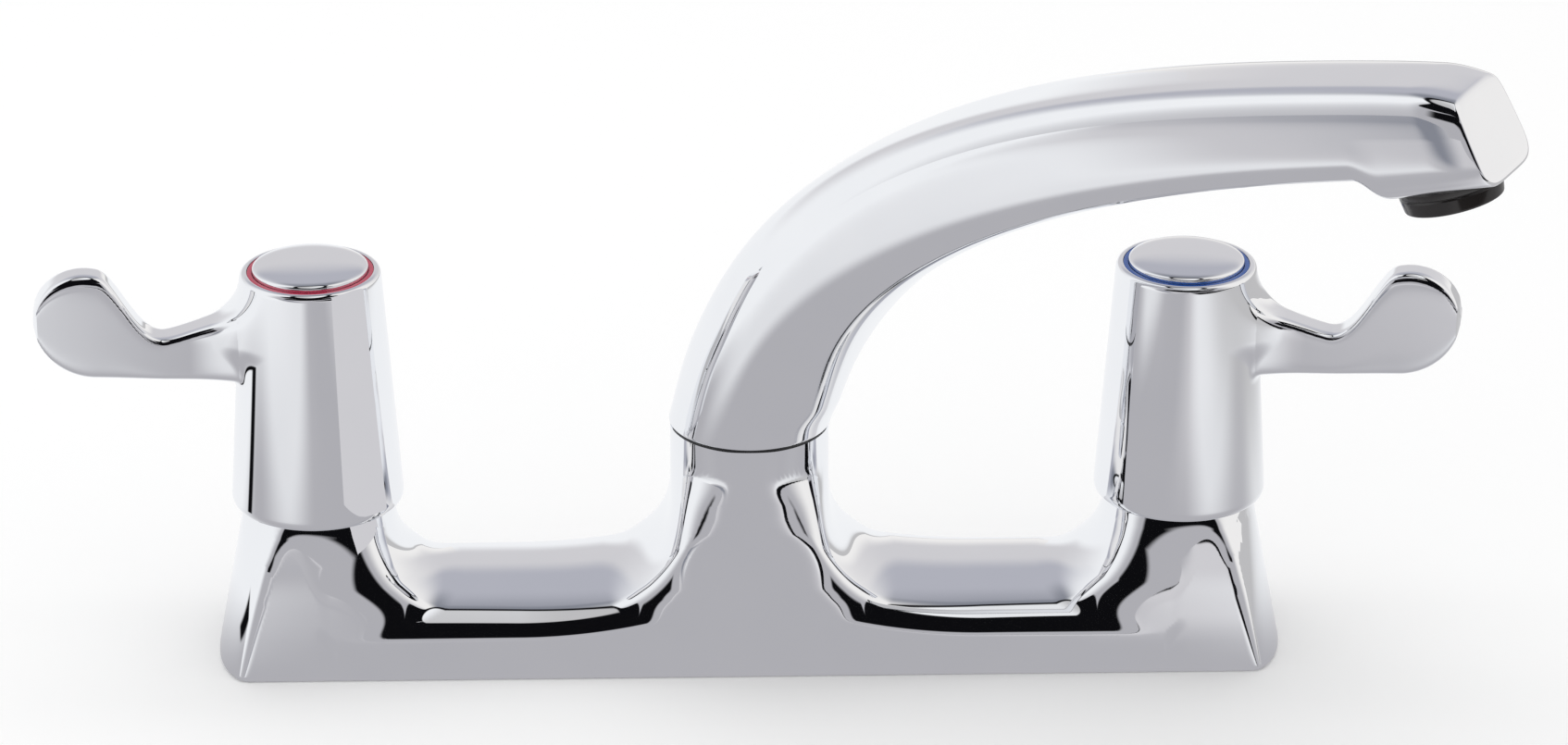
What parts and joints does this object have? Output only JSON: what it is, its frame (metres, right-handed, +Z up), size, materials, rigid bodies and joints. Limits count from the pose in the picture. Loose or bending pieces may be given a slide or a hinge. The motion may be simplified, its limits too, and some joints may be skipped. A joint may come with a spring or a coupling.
{
  "type": "two handle kitchen faucet",
  "caption": "Deck mounted kitchen sink mixer with a bridge body, hot and cold lever handles and a swivel spout with an aerator outlet.",
  "frame": {"origin": "middle of the base on the deck, under the swivel axis of the spout", "axes": "+Z up out of the deck, +X from the hot tap towards the cold tap, -Y towards the user"},
  "size_m": [0.2928, 0.1124, 0.2064],
  "materials": {
    "chrome": "polished",
    "brass": "satin",
    "steel": "satin",
    "rubber": "matte",
    "ceramic": "polished",
    "washer": "matte",
    "slide_ring": "matte",
    "black": "gloss",
    "mesh": "satin",
    "hot_ring": "gloss",
    "cold_ring": "gloss"
  },
  "bodies": {
    "root": {"mixer_body": "chrome", "base_gasket": "rubber", "hot_inlet_tail": "brass", "hot_backnut": "brass", "hot_backnut_washer": "washer", "hot_valve_housing": "brass", "hot_fixed_disc": "ceramic", "hot_seat_seal": "rubber", "hot_housing_seal": "rubber", "cold_inlet_tail": "brass", "cold_backnut": "brass", "cold_backnut_washer": "washer", "cold_valve_housing": "brass", "cold_fixed_disc": "ceramic", "cold_seat_seal": "rubber", "cold_housing_seal": "rubber", "spout_nipple": "brass", "spout_seals": "rubber", "spout_slide_ring": "slide_ring", "flow_divider": "brass"},
    "hot_handle": {"hot_lever": "chrome", "hot_indicator_ring": "hot_ring", "hot_cap": "chrome", "hot_lever_screw": "steel", "hot_spindle": "brass", "hot_moving_disc": "ceramic", "hot_spindle_seal": "rubber", "hot_circlip": "steel"},
    "cold_handle": {"cold_lever": "chrome", "cold_indicator_ring": "cold_ring", "cold_cap": "chrome", "cold_lever_screw": "steel", "cold_spindle": "brass", "cold_moving_disc": "ceramic", "cold_spindle_seal": "rubber", "cold_circlip": "steel"},
    "spout": {"spout": "chrome", "spout_grub_screw": "steel", "aerator_housing": "black", "aerator_insert": "mesh", "aerator_seal": "rubber"}
  },
  "joints": [
    {"name": "hot_lever_turn", "type": "hinge", "parent": "root", "child": "hot_handle", "pos_m": [-0.09, 0, 0.05], "axis": [0, 0, 1], "range_deg": [0, 90]},
    {"name": "cold_lever_turn", "type": "hinge", "parent": "root", "child": "cold_handle", "pos_m": [0.09, 0, 0.05], "axis": [0, 0, 1], "range_deg": [-90, 0]},
    {"name": "spout_swivel", "type": "hinge", "parent": "root", "child": "spout", "pos_m": [0, 0, 0.0497], "axis": [0, 0, 1], "continuous": true}
  ]
}
